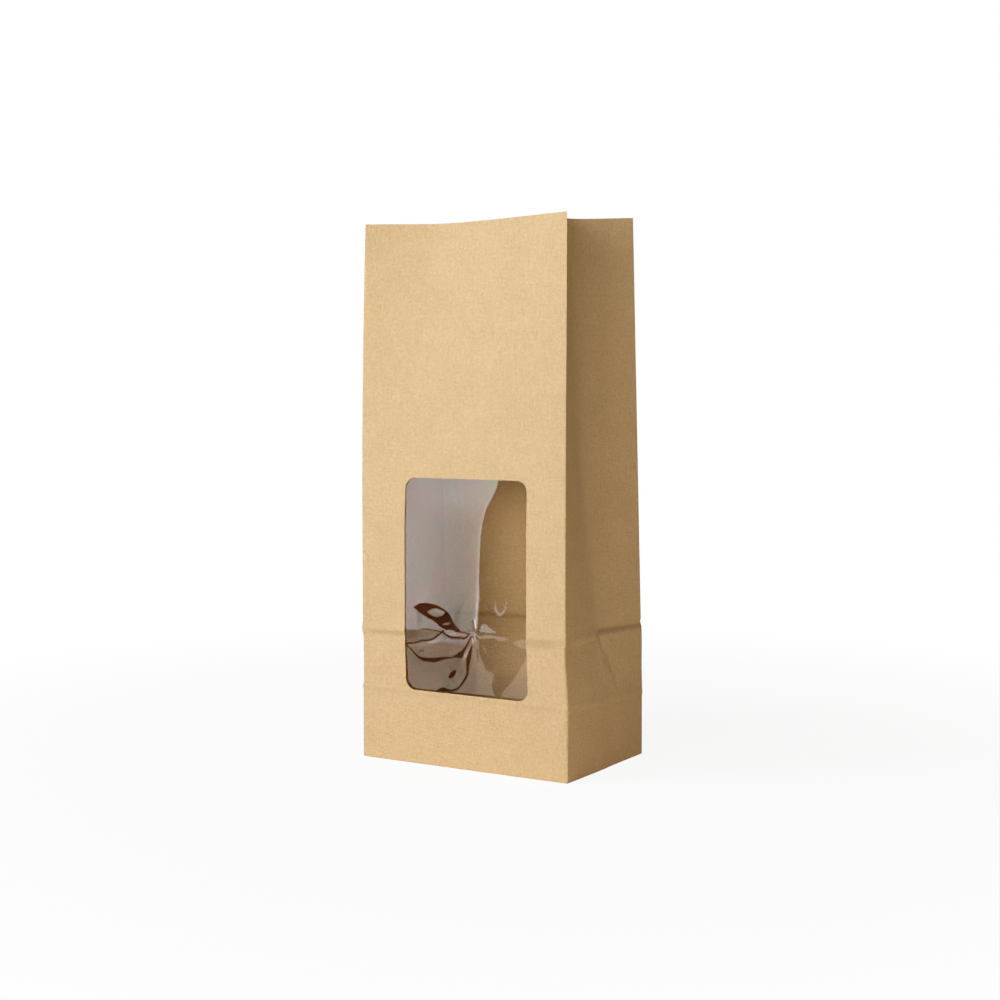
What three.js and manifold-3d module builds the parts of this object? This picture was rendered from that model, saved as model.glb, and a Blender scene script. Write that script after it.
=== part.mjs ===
// A block-bottom kraft paper bag with a window, standing open and empty.
// Millimetres, +Z up. The origin is the middle of the base, and the window faces -Y.
import * as THREE from 'three';
import { mergeVertices } from 'three/addons/utils/BufferGeometryUtils.js';
import Module from 'manifold-3d';

const wasm = await Module();
wasm.setup();

// Driving dimensions of the bag.
const bagWidth = 120;
const bagDepth = 80;
const bagHeight = 271.3;
const mouthRise = 3;
const paperWall = 0.5;
const baseRounding = 0.8;

// Creases left by the flat fold of the block bottom.
const lowCrease = 36.3;
const highCrease = 67.8;
const betweenCreases = (lowCrease + highCrease) / 2;

// The front edges stand a little forward of the base, the right one more than the left.
const forwardRight = 2.2;
const forwardRightMouth = 1.3;
const forwardLeft = 0.6;
const forwardTurn = 136;
const forwardRise = 24;

// The back panel leans in to the mouth.
const backLeanCrease = 1.8;
const backLeanMouth = 13;

// The soft upright fold that the front panel takes under its mouth.
const dentStart = 118;
const dentSpread = 1.2;
const dentDepth = 12;
const dentPlace = 0.36;
const dentRounding = 0.55;
const dentDrop = 0.6;
const cornerInset = 3.1;
const cornerFlare = 0.9;

// Side gussets, folded inwards along their middle. Below the high crease the fold
// runs back and dies out at the low one.
const gussetPushCrease = 3.6;
const gussetPushMouth = 17.7;
const gussetSpread = 0.63;
const gussetRoundingCrease = 0.05;
const gussetRoundingMouth = 0.3;
const gussetFoot = 0.7;

// The window opening, and the film glued behind it.
const windowLeft = -33.3;
const windowRight = 38.2;
const windowBottom = 37.4;
const windowTop = 144.4;
const windowCorner = 5.6;
const filmOverlap = 8;
const filmWall = 0.3;
const glueGap = 0.3;
const cutterDepth = 20;

// How finely the panels are divided.
const frontColumns = 20;
const backColumns = 6;
const gussetColumns = 10;
const upperRows = 14;
const filmColumns = 12;
const filmRows = 6;
const cornerSteps = 6;
const mergeDistance = 1e-4;

const ramp = (value, from, to) => THREE.MathUtils.clamp((value - from) / (to - from), 0, 1);
const mix = (a, b, share) => a + (b - a) * share;

// How far the front fold has opened at a height, from 0 where it starts to 1 at the mouth.
const foldShare = (z) => ramp(z, dentStart, bagHeight) ** dentSpread;

// A fold across a panel: 1 on its line, 0 at the panel's edges, rounded by a share of the width.
function foldAcross(share, place, rounding) {
  const side = share < place ? place : 1 - place;
  const away = Math.abs(share - place) / side;
  const soft = (value) => Math.hypot(value, rounding) - rounding;
  return 1 - soft(away) / soft(1);
}

// The plan positions of the bag's four upright edges at a height.
function edges(z) {
  const fold = foldShare(z);
  const rise = ramp(z, lowCrease, lowCrease + forwardRise);
  const turn = ramp(z, forwardTurn, bagHeight);
  const lean =
    backLeanCrease * ramp(z, lowCrease, highCrease) +
    (backLeanMouth - backLeanCrease) * ramp(z, highCrease, bagHeight);
  const left = forwardLeft * rise * (1 - turn) + cornerFlare * fold ** 3;
  const right = forwardRight * rise - (forwardRight - forwardRightMouth) * turn;
  return {
    leftX: -bagWidth / 2 + cornerInset * fold ** 2,
    rightX: bagWidth / 2,
    frontLeftY: -bagDepth / 2 - left,
    frontRightY: -bagDepth / 2 - right,
    backX: bagWidth / 2,
    backY: bagDepth / 2 - lean,
  };
}

// A point of the front panel, by its share of the way across from the left and its height.
function frontPoint(share, z) {
  const { leftX, rightX, frontLeftY, frontRightY } = edges(z);
  const dent = foldShare(z) * foldAcross(share, dentPlace, dentRounding);
  const x = mix(leftX, rightX, share);
  const y = mix(frontLeftY, frontRightY, share) + dentDepth * dent;
  return [x, y, z - dentDrop * dent ** 2];
}

// A point of a gusset, by its share of the way from the front edge to the back one.
function gussetPoint(share, z, side) {
  const { leftX, rightX, frontLeftY, frontRightY, backX, backY } = edges(z);
  const up = ramp(z, highCrease, bagHeight);
  const down = 1 - ramp(z, lowCrease, highCrease);
  const push = mix(gussetPushCrease, gussetPushMouth, up ** gussetSpread) * (1 - down);
  const rounding = mix(gussetRoundingCrease, gussetRoundingMouth, up);
  const fold = foldAcross(share, mix(0.5, gussetFoot, down), rounding);
  const frontX = side > 0 ? rightX : -leftX;
  const frontY = side > 0 ? frontRightY : frontLeftY;
  const x = side * (mix(frontX, backX, share) - push * fold);
  return [x, mix(frontY, backY, share), z + mouthRise * up * share];
}

// One turn round the bag at a height, anticlockwise from the front left edge.
function section(z) {
  const along = (count, point) => Array.from({ length: count }, (_, i) => point(i / count));
  const { backX, backY } = edges(z);
  const rise = mouthRise * ramp(z, highCrease, bagHeight);
  return [
    ...along(frontColumns, (share) => frontPoint(share, z)),
    ...along(gussetColumns, (share) => gussetPoint(share, z, 1)),
    ...along(backColumns, (share) => [mix(backX, -backX, share), backY, z + rise]),
    ...along(gussetColumns, (share) => gussetPoint(1 - share, z, -1)),
  ];
}

// The same turn moved inwards by a distance, with mitred corners.
function inset(points, distance) {
  return points.map(([x, y, z], i) => {
    const before = points.at(i - 1);
    const after = points[(i + 1) % points.length];
    const a = new THREE.Vector2(x - before[0], y - before[1]).normalize();
    const b = new THREE.Vector2(after[0] - x, after[1] - y).normalize();
    const reach = distance / (1 + a.dot(b));
    return [x - (a.y + b.y) * reach, y + (a.x + b.x) * reach, z];
  });
}

const steps = (from, to, count) =>
  Array.from({ length: count + 1 }, (_, i) => mix(from, to, i / count));

function solidFrom(vertProperties, triVerts) {
  const mesh = new wasm.Mesh({
    numProp: 3,
    vertProperties: new Float32Array(vertProperties),
    triVerts: new Uint32Array(triVerts),
  });
  return new wasm.Manifold(mesh);
}

function geometryOf(solid) {
  const { vertProperties, triVerts } = solid.getMesh();
  const geometry = new THREE.BufferGeometry();
  geometry.setAttribute('position', new THREE.BufferAttribute(vertProperties, 3));
  geometry.setIndex(new THREE.BufferAttribute(triVerts, 1));
  geometry.computeVertexNormals();
  return geometry;
}

// The open shell: turns up the outside, over the rim, down the inside, and a floor.
function bagShell() {
  const rows = [lowCrease, betweenCreases, ...steps(highCrease, bagHeight, upperRows)];
  const atHeight = (turn, z) => turn.map(([x, y]) => [x, y, z]);
  const footprint = section(0);
  const turns = [
    inset(footprint, baseRounding),
    atHeight(footprint, baseRounding),
    ...rows.map(section),
    ...rows.map((z) => inset(section(z), paperWall)).reverse(),
    atHeight(inset(footprint, paperWall), paperWall + baseRounding),
    atHeight(inset(footprint, paperWall + baseRounding), paperWall),
  ];
  const count = footprint.length;
  const vertices = turns.flat(2);
  const triangles = [];
  for (let row = 0; row + 1 < turns.length; row++) {
    for (let i = 0; i < count; i++) {
      const a = row * count + i;
      const b = row * count + ((i + 1) % count);
      triangles.push(a, b, b + count, a, b + count, a + count);
    }
  }
  const underside = turns.length * count;
  const floor = underside + 1;
  const last = (turns.length - 1) * count;
  vertices.push(0, 0, 0, 0, 0, paperWall);
  for (let i = 0; i < count; i++) {
    const next = (i + 1) % count;
    triangles.push(underside, next, i);
    triangles.push(floor, last + i, last + next);
  }
  return solidFrom(vertices, triangles);
}

// A block through the front panel with the window's rounded outline.
function windowCutter() {
  const outline = new THREE.Shape();
  const r = windowCorner;
  outline.absarc(windowRight - r, windowBottom + r, r, -Math.PI / 2, 0);
  outline.absarc(windowRight - r, windowTop - r, r, 0, Math.PI / 2);
  outline.absarc(windowLeft + r, windowTop - r, r, Math.PI / 2, Math.PI);
  outline.absarc(windowLeft + r, windowBottom + r, r, Math.PI, 1.5 * Math.PI);
  const block = new THREE.ExtrudeGeometry(outline, {
    depth: cutterDepth,
    bevelEnabled: false,
    curveSegments: cornerSteps,
  });
  block.rotateX(Math.PI / 2);
  block.translate(0, (cutterDepth - bagDepth) / 2, 0);
  block.deleteAttribute('normal');
  block.deleteAttribute('uv');
  const merged = mergeVertices(block, mergeDistance);
  return solidFrom(merged.attributes.position.array, merged.index.array);
}

// The film: a thin closed sheet that follows the inner face of the front panel.
function windowFilm() {
  const bottom = windowBottom - filmOverlap;
  const top = windowTop + filmOverlap;
  const rows = [bottom, lowCrease, betweenCreases, ...steps(highCrease, top, filmRows)];
  const columns = steps(windowLeft - filmOverlap, windowRight + filmOverlap, filmColumns);
  const sheet = (offset) =>
    rows.map((z) =>
      columns.map((x) => {
        const [, y] = frontPoint(x / bagWidth + 0.5, z);
        return [x, y + offset, z];
      })
    );
  const front = sheet(paperWall + glueGap);
  const back = sheet(paperWall + glueGap + filmWall);
  const vertices = [front, back].flat(3);
  const behind = rows.length * columns.length;
  const index = (row, column) => row * columns.length + column;
  const triangles = [];
  for (let row = 1; row < rows.length; row++) {
    for (let column = 1; column < columns.length; column++) {
      const a = index(row - 1, column - 1);
      const b = index(row - 1, column);
      const c = index(row, column);
      const d = index(row, column - 1);
      triangles.push(a, b, c, a, c, d);
      triangles.push(a + behind, c + behind, b + behind, a + behind, d + behind, c + behind);
    }
  }
  // The thin edges join the outline of the front face to that of the back one.
  const rim = (count, place) => Array.from({ length: count }, (_, i) => place(i));
  const lastRow = rows.length - 1;
  const lastColumn = columns.length - 1;
  const outline = [
    ...rim(lastColumn, (i) => index(0, i)),
    ...rim(lastRow, (i) => index(i, lastColumn)),
    ...rim(lastColumn, (i) => index(lastRow, lastColumn - i)),
    ...rim(lastRow, (i) => index(lastRow - i, 0)),
  ];
  outline.forEach((a, i) => {
    const b = outline[(i + 1) % outline.length];
    triangles.push(a, a + behind, b + behind, a, b + behind, b);
  });
  return solidFrom(vertices, triangles);
}

function addPart(group, name, solid, material) {
  const mesh = new THREE.Mesh(geometryOf(solid), material);
  mesh.name = name;
  group.add(mesh);
}

const kraftPaper = new THREE.MeshStandardMaterial({
  color: new THREE.Color().setRGB(0.86, 0.74, 0.56, THREE.SRGBColorSpace),
  roughness: 0.85,
  metalness: 0,
});
const clearFilm = new THREE.MeshStandardMaterial({
  color: new THREE.Color().setRGB(0.92, 0.92, 0.9, THREE.SRGBColorSpace),
  roughness: 0.1,
  metalness: 0,
  transparent: true,
  opacity: 0.35,
});

const bag = new THREE.Group();
addPart(bag, 'paper_bag', bagShell().subtract(windowCutter()), kraftPaper);
addPart(bag, 'window_film', windowFilm(), clearFilm);

export default bag;
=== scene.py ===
import math

import bmesh
import bpy
import numpy as np
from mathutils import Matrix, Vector, noise
from mathutils.geometry import delaunay_2d_cdt


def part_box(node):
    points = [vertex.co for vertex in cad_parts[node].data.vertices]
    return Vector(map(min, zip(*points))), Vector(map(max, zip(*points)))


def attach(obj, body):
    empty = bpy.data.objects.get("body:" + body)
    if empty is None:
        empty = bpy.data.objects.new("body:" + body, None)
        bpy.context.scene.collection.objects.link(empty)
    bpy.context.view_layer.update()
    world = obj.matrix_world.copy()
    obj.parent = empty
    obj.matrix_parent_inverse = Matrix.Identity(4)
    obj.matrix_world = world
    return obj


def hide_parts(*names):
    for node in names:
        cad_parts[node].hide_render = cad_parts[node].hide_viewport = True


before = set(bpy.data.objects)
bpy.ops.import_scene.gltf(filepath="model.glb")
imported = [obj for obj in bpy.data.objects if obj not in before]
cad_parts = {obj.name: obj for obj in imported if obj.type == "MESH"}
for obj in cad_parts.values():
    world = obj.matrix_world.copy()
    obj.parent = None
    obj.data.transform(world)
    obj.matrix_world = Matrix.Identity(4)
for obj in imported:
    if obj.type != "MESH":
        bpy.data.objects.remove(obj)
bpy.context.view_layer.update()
print("frame loaded")

metre = 0.001  # shapes are worked out in millimetres and written in metres
paperLow, paperHigh = (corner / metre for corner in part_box("paper_bag"))
filmLow, filmHigh = (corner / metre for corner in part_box("window_film"))


# How far a value has come from start to end, from 0 to 1.
def ramp(value, start, end):
    return min(max((value - start) / (end - start), 0.0), 1.0)


# The same, easing in and out.
def soften(value, start, end):
    share = ramp(value, start, end)
    return share * share * (3 - 2 * share)


# Easing for whole arrays of shares.
def smoothStep(share):
    share = np.clip(share, 0, 1)
    return share * share * (3 - 2 * share)


def between(values, start, end):
    return smoothStep((values - start) / (end - start))


def mix(a, b, share):
    return a + (b - a) * share


def addObject(name, data):
    item = bpy.data.objects.new(name, data)
    bpy.context.scene.collection.objects.link(item)
    return item


def meshObject(name, points, faces):
    mesh = bpy.data.meshes.new(name)
    mesh.from_pydata(points, [], faces)
    return addObject(name, mesh)


bag = {
    "width": paperHigh.x - paperLow.x,
    "depth": 2 * paperHigh.y,
    "mouthRise": 3.0,          # the back panel's rim stands higher than the front's
    "wall": 0.25,
    "foldRadius": 0.6,         # of the upright and bottom edges
    "cornerCut": 0.42,         # share of that radius by which a folded corner falls short
    "lowCrease": {"frontLeft": 37.6, "frontRight": 37.0, "backRight": 33.4, "backLeft": 34.0},
    "highCrease": {"frontLeft": 66.2, "frontRight": 68.8, "backRight": 67.8, "backLeft": 66.8},
    "forwardRight": 2.2,       # how far the front edges stand out above the low crease
    "forwardRightMouth": 1.3,
    "forwardLeft": 0.6,
    "forwardTurn": 136.0,
    "forwardRise": 24.0,
    "leanCrease": 1.8,         # how far the back panel leans in
    "leanMouth": 13.0,
    "dentStart": 118.0,        # the soft upright fold under the mouth
    "dentSpread": 1.2,
    "dentDepth": 12.0,
    "dentPlace": 0.36,
    "dentRounding": 0.55,
    "dentDrop": 0.6,
    "cornerInset": 3.1,
    "cornerFlare": 0.9,
    "gussetPushCrease": 3.6,   # how far the gussets are folded in
    "gussetPushMouth": 17.7,
    "gussetSpread": 0.63,
    "gussetRoundingCrease": 0.05,
    "gussetRoundingMouth": 0.3,
    "gussetFoot": 0.7,
    "valley": 0.9,             # depth of the sharp line where the gusset's fold dies out
    "gussetDrop": 0.9,         # how far the fold pulls the gussets' rim down
    "gussetDropPower": 6,      # and how suddenly near the rim
    "waveHeight": 0.16,        # the paper is never quite flat
    "waveLength": 34.0,
    "waveStretch": 0.6,
    "waveFlat": (2, 22),       # it is flat beside the window, and wavy so far from it
    "bottomLift": 0.5,         # room under the bottom for its two glued flaps
    "bottomRim": (0.6, 3.2),   # the bottom rises to that between these distances from its edge
}
bag["height"] = paperHigh.z - bag["mouthRise"]

# where the paper's unevenness is read for each panel
waveSeeds = {"front": 3.1, "gusset": 7.7, "back": 12.9}

# Steps across the creases: a height, and the distances above the crease between which it comes.
relief = {
    "frontLeftLip": (0.4, 4.0, 0.6),
    "frontLeftStep": (-0.42, 0.3, -3.0),
    "frontRightLip": (0.12, 4.5, 1.5),
    "frontRightStep": (-0.5, 0.5, -6.5),
    "frontRidge": (0.35, 0.9, -0.3),
    "frontDip": (-1, -0.6, -3.0),
    "gussetLip": (0.4, 3.6, 0.6),
    "gussetStep": (-1.5, 0, -5.4),
    "gussetGroove": (1.9, 0.4, -2.2),
    "gussetGrooveTop": (1.9, 2.8, 0.8),
    "gussetRidge": (0.4, 0.9, -0.5),
    "gussetDip": (-0.6, -0.8, -3.4),
    "backStep": (1.5, 2.0, -2.0),
    "backRidge": (0.16, 0.8, -0.5),
}

# How those steps fade along the panels.
reliefFade = {
    "highDown": (-2, 24),      # the high crease's step goes down to the low crease
    "lowDown": (-26, -3),      # the low crease's ridge goes towards the bottom
    "stepDown": (-34, -10),
    "frontDip": (0.15, 0.3),   # depth at the left and at the right
    "frontTurn": (0.3, 0.7),   # from the left form to the right one
    "gussetTurn": (0.44, 0.58),
    "gussetEdge": (0.5, 0.2),  # what is left at a gusset's edges, and how wide they are
    "valleyWidth": 2.8,
    "valleyTop": (1.5, -1.5),
}

window = {"left": -33.3, "right": 38.2, "bottom": 37.4, "top": 144.4, "corner": 5.6}

meshing = {
    "column": 1.7,
    "gussetColumn": 1.2,
    "foldColumns": (0.8, 1.4),     # close columns beside a folded edge
    "foldMargin": 1.9,
    "row": 2.2,
    "footRows": (0.0, 0.1, 0.3, bag["foldRadius"], 1.4),
    "rimRow": 1.2,
    "creaseRow": 0.7,
    "creaseReach": 8.0,
    "outline": 0.9,
    "cornerSteps": 9,
    "outlineMargin": 0.5,
    "weld": 1e-6,
    "sharpFrom": 50,               # degrees between two faces
}


# How far the front's soft fold has opened at a height, from 0 to 1 at the mouth.
def foldShare(z):
    return ramp(z, bag["dentStart"], bag["height"]) ** bag["dentSpread"]


# A fold across a panel: 1 on its line, 0 at the panel's edges.
def foldAcross(share, place, rounding):
    side = place if share < place else 1 - place
    away = abs(share - place) / side
    soft = lambda value: math.hypot(value, rounding) - rounding
    return 1 - soft(away) / soft(1)


def creaseHeight(crease, here, there, share):
    return mix(bag[crease][here], bag[crease][there], share)


def stepAcross(name, distance):
    height, start, end = relief[name]
    return height * soften(distance, start, end)


# How far the front panel stands out at its creases.
def frontRelief(share, z):
    high = z - creaseHeight("highCrease", "frontLeft", "frontRight", share)
    low = z - creaseHeight("lowCrease", "frontLeft", "frontRight", share)
    left = stepAcross("frontLeftLip", high) + stepAcross("frontLeftStep", high)
    right = stepAcross("frontRightLip", high) + stepAcross("frontRightStep", high)
    raised = mix(left, right, soften(share, *reliefFade["frontTurn"])) * ramp(low, *reliefFade["highDown"])
    dip = mix(*reliefFade["frontDip"], share) * stepAcross("frontDip", low)
    return raised + (stepAcross("frontRidge", low) + dip) * ramp(low, *reliefFade["lowDown"])


# How far a gusset stands out at its creases.
def gussetRelief(share, z, side):
    front, back = ("frontRight", "backRight") if side > 0 else ("frontLeft", "backLeft")
    high = z - creaseHeight("highCrease", front, back, share)
    soft = stepAcross("gussetLip", high)
    soft += stepAcross("gussetStep", high) * ramp(high, *reliefFade["stepDown"])
    groove = stepAcross("gussetGroove", high) - stepAcross("gussetGrooveTop", high)
    low = z - creaseHeight("lowCrease", front, back, share)
    ridge = stepAcross("gussetRidge", low) + stepAcross("gussetDip", low)
    raised = mix(soft, groove, soften(share, *reliefFade["gussetTurn"]))
    raised += ridge * ramp(low, *reliefFade["lowDown"])
    down = ramp(-high, 0, bag["highCrease"][back] - bag["lowCrease"][back])
    aside = (share - mix(0.5, bag["gussetFoot"], down)) * bag["depth"]
    valley = soften(abs(aside), reliefFade["valleyWidth"], 0)
    valley *= soften(high, *reliefFade["valleyTop"]) * (1 - down)
    least, wide = reliefFade["gussetEdge"]
    return (raised - bag["valley"] * valley) * mix(least, 1, soften(0.5 - abs(share - 0.5), 0, wide))


# A slow unevenness of the paper.
def wave(x, y, z, seed):
    scale = 1 / bag["waveLength"]
    place = Vector((x * scale, y * scale + seed, z * scale * bag["waveStretch"]))
    return bag["waveHeight"] * noise.noise(place)


# How far inside the opening's straight sides each place lies, negative outside it.
def insideWindow(x, z):
    aside = np.minimum(x - window["left"], window["right"] - x)
    upright = np.minimum(z - window["bottom"], window["top"] - z)
    return np.minimum(aside, upright)


def frontWave(x, z):
    return wave(x, 0, z, waveSeeds["front"]) * soften(-insideWindow(x, z), *bag["waveFlat"])


# The plan positions of the four upright edges at a height.
def edges(z, lowCrease):
    fold = foldShare(z)
    rise = ramp(z, lowCrease, lowCrease + bag["forwardRise"])
    turn = ramp(z, bag["forwardTurn"], bag["height"])
    high = bag["highCrease"]["backRight"]
    lean = bag["leanCrease"] * ramp(z, bag["lowCrease"]["backRight"], high)
    lean += (bag["leanMouth"] - bag["leanCrease"]) * ramp(z, high, bag["height"])
    left = bag["forwardLeft"] * rise * (1 - turn) + bag["cornerFlare"] * fold ** 3
    right = bag["forwardRight"] * rise - (bag["forwardRight"] - bag["forwardRightMouth"]) * turn
    half = bag["width"] / 2
    return {
        "leftX": -half + bag["cornerInset"] * fold ** 2,
        "rightX": half,
        "frontLeftY": -bag["depth"] / 2 - left,
        "frontRightY": -bag["depth"] / 2 - right,
        "backX": half,
        "backY": bag["depth"] / 2 - lean,
    }


# Draws a point in towards the middle where the wall turns under at the bottom.
def tuck(x, y, z):
    radius = bag["foldRadius"]
    if z >= radius:
        return x, y
    inset = radius - math.sqrt(radius ** 2 - (radius - z) ** 2)
    return x * (1 - 2 * inset / bag["width"]), y * (1 - 2 * inset / bag["depth"])


# A point on one of the four upright edges, softened like folded paper.
def cornerPoint(front, side, z):
    place = edges(z, bag["lowCrease"]["frontRight"])
    soft = bag["cornerCut"] * bag["foldRadius"]
    if front:
        x = (place["rightX"] if side > 0 else -place["leftX"]) + gussetRelief(0, z, side) - soft
        y = place["frontRightY" if side > 0 else "frontLeftY"] - frontRelief((side + 1) / 2, z) + soft
    else:
        x = place["backX"] + gussetRelief(1, z, side) - soft
        y = place["backY"] - soft
        z += bag["mouthRise"] * ramp(z, bag["highCrease"]["backRight"], bag["height"])
    x, y = tuck(side * x, y, z)
    return x, y, z


# The front panel's plan position without creases and waves, and how far its soft fold opens there.
def smoothFront(share, z):
    place = edges(z, creaseHeight("lowCrease", "frontLeft", "frontRight", share))
    dent = foldShare(z) * foldAcross(share, bag["dentPlace"], bag["dentRounding"])
    x = mix(place["leftX"], place["rightX"], share)
    y = mix(place["frontLeftY"], place["frontRightY"], share) + bag["dentDepth"] * dent
    return x, y, dent


# Share runs from the left edge to the right one.
def frontPoint(share, z):
    if share <= 0 or share >= 1:
        return cornerPoint(True, 1 if share >= 1 else -1, z)
    x, y, dent = smoothFront(share, z)
    y -= frontRelief(share, z) + frontWave(x, z)
    x, y = tuck(x, y, z)
    return x, y, z - bag["dentDrop"] * dent ** 2


# Share runs from the front edge to the back one.
def gussetPoint(share, z, side):
    if share <= 0 or share >= 1:
        return cornerPoint(share <= 0, side, z)
    front, back = ("frontRight", "backRight") if side > 0 else ("frontLeft", "backLeft")
    lowCrease = creaseHeight("lowCrease", front, back, share)
    highCrease = creaseHeight("highCrease", front, back, share)
    place = edges(z, lowCrease)
    up = ramp(z, highCrease, bag["height"])
    down = 1 - ramp(z, lowCrease, highCrease)
    push = mix(bag["gussetPushCrease"], bag["gussetPushMouth"], up ** bag["gussetSpread"]) * (1 - down)
    rounding = mix(bag["gussetRoundingCrease"], bag["gussetRoundingMouth"], up)
    fold = foldAcross(share, mix(0.5, bag["gussetFoot"], down), rounding)
    frontX = place["rightX"] if side > 0 else -place["leftX"]
    frontY = place["frontRightY"] if side > 0 else place["frontLeftY"]
    x = mix(frontX, place["backX"], share) - push * fold
    y = mix(frontY, place["backY"], share)
    x += gussetRelief(share, z, side) + wave(0, y, z, waveSeeds["gusset"] * side)
    x, y = tuck(side * x, y, z)
    drop = bag["gussetDrop"] * up ** bag["gussetDropPower"] * fold
    return x, y, z + bag["mouthRise"] * up * share - drop


# Share runs from the right edge to the left one.
def backPoint(share, z):
    if share <= 0 or share >= 1:
        return cornerPoint(False, 1 if share <= 0 else -1, z)
    place = edges(z, bag["lowCrease"]["backRight"])
    high = z - creaseHeight("highCrease", "backRight", "backLeft", share)
    low = z - creaseHeight("lowCrease", "backRight", "backLeft", share)
    x = mix(place["backX"], -place["backX"], share)
    y = place["backY"] + wave(x, 0, z, waveSeeds["back"])
    y += stepAcross("backStep", high) * ramp(low, *reliefFade["highDown"])
    y += stepAcross("backRidge", low) * ramp(low, *reliefFade["lowDown"])
    x, y = tuck(x, y, z)
    return x, y, z + bag["mouthRise"] * ramp(z, bag["highCrease"]["backRight"], bag["height"])


# Shares of a panel's width: even, with two close columns beside each folded edge.
def columnShares(length, step):
    count = round(length / step)
    close = [distance / length for distance in meshing["foldColumns"]]
    margin = meshing["foldMargin"]
    even = [i / count for i in range(1, count)]
    inner = [share for share in even if margin < share * length < length - margin]
    return [0.0, *close, *inner, *(1 - share for share in reversed(close)), 1.0]


# Heights of the rows: close at the bottom edge and at the two creases.
def rowHeights():
    heights = list(meshing["footRows"])
    creases = [sum(bag[name].values()) / 4 for name in ("lowCrease", "highCrease")]
    while heights[-1] < bag["height"] - meshing["row"]:
        near = min(abs(heights[-1] - crease) for crease in creases) < meshing["creaseReach"]
        heights.append(heights[-1] + (meshing["creaseRow"] if near else meshing["row"]))
    return [*heights[:-1], bag["height"] - meshing["rimRow"], bag["height"]]


# The opening's outline on the flat front panel, measured from its middle and from the floor.
def windowOutline():
    r = window["corner"]
    corners = [
        (window["right"] - r, window["bottom"] + r, -90),
        (window["right"] - r, window["top"] - r, 0),
        (window["left"] + r, window["top"] - r, 90),
        (window["left"] + r, window["bottom"] + r, 180),
    ]
    points = []
    steps = meshing["cornerSteps"]
    for x, z, turn in corners:
        arc = [math.radians(turn + step * 90 / steps) for step in range(steps + 1)]
        bend = [(x + r * math.cos(angle), z + r * math.sin(angle)) for angle in arc]
        if points:
            points += straight(points[-1], bend[0])
        points += bend
    return points + straight(points[-1], points[0])


# The places between two ends, without the ends.
def straight(start, end):
    count = max(1, round(math.dist(start, end) / meshing["outline"]))
    return [(mix(start[0], end[0], i / count), mix(start[1], end[1], i / count)) for i in range(1, count)]


# Whether a place of the front panel lies in the opening, or within a margin of it.
def inWindow(x, z, margin=0.0):
    r = window["corner"]
    middleX = (window["left"] + window["right"]) / 2
    middleZ = (window["bottom"] + window["top"]) / 2
    outX = abs(x - middleX) - (window["right"] - window["left"]) / 2 + r
    outZ = abs(z - middleZ) - (window["top"] - window["bottom"]) / 2 + r
    away = math.hypot(max(outX, 0), max(outZ, 0)) + min(max(outX, outZ), 0) - r
    return away < margin


# The faces of a grid of points, row after row.
def gridFaces(count, rows):
    starts = [row * count + i for row in range(rows - 1) for i in range(count - 1)]
    return [(a, a + 1, a + 1 + count, a + count) for a in starts]


def panelGrid(shares, heights, place):
    points = [place(share, z) for z in heights for share in shares]
    return points, gridFaces(len(shares), len(heights))


# The front panel, with the opening cut out of its grid.
def frontPanel(shares, heights):
    width = bag["width"]
    outline = windowOutline()
    flat = [((share - 0.5) * width, z) for z in heights for share in shares]
    flat = [spot for spot in flat if not inWindow(*spot, margin=meshing["outlineMargin"])]
    first = len(flat)
    border = [(first + i, first + (i + 1) % len(outline)) for i in range(len(outline))]
    spots = [Vector(spot) for spot in flat + outline]
    spots, _, faces, *_ = delaunay_2d_cdt(spots, border, [], 0, meshing["weld"])
    middle = lambda face: sum((spots[i] for i in face), Vector((0, 0))) / len(face)
    faces = [face for face in faces if not inWindow(*middle(face))]
    shareOf = lambda x: round(x / width + 0.5, 9)  # rounded, so that the edges are exactly 0 and 1
    return [frontPoint(shareOf(x), z) for x, z in spots], faces


# The flat bottom, lifted a little inside its folded edges.
def bottomPanel(acrossShares, deepShares):
    def place(right, back):
        if back in (0, 1):
            return frontPoint(right, 0) if back == 0 else backPoint(1 - right, 0)
        if right in (0, 1):
            return gussetPoint(back, 0, 1 if right == 1 else -1)
        x, frontY, _ = frontPoint(right, 0)
        y = mix(frontY, backPoint(1 - right, 0)[1], back)
        edge = min(min(right, 1 - right) * bag["width"], min(back, 1 - back) * bag["depth"])
        return x, y, bag["bottomLift"] * soften(edge, *bag["bottomRim"])

    points = [place(right, back) for back in deepShares for right in acrossShares]
    faces = gridFaces(len(acrossShares), len(deepShares))
    return points, [(a, d, c, b) for a, b, c, d in faces]


def buildPaperBag():
    across = columnShares(bag["width"], meshing["column"])
    deep = columnShares(bag["depth"], meshing["gussetColumn"])
    heights = rowHeights()
    panels = [
        frontPanel(across, heights),
        panelGrid(deep, heights, lambda share, z: gussetPoint(share, z, 1)),
        panelGrid([1 - share for share in reversed(across)], heights, backPoint),
        panelGrid(deep, heights, lambda share, z: gussetPoint(1 - share, z, -1)),
        bottomPanel(across, deep),
    ]
    points, faces = [], []
    for panelPoints, panelFaces in panels:
        start = len(points)
        points += [Vector(point) * metre for point in panelPoints]
        faces += [[start + i for i in face] for face in panelFaces]
    piece = meshObject("paper_bag_folded", points, faces)
    sheet = bmesh.new()
    sheet.from_mesh(piece.data)
    bmesh.ops.remove_doubles(sheet, verts=sheet.verts, dist=meshing["weld"])
    bmesh.ops.recalc_face_normals(sheet, faces=sheet.faces)
    sheet.to_mesh(piece.data)
    sheet.free()
    return piece


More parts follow.
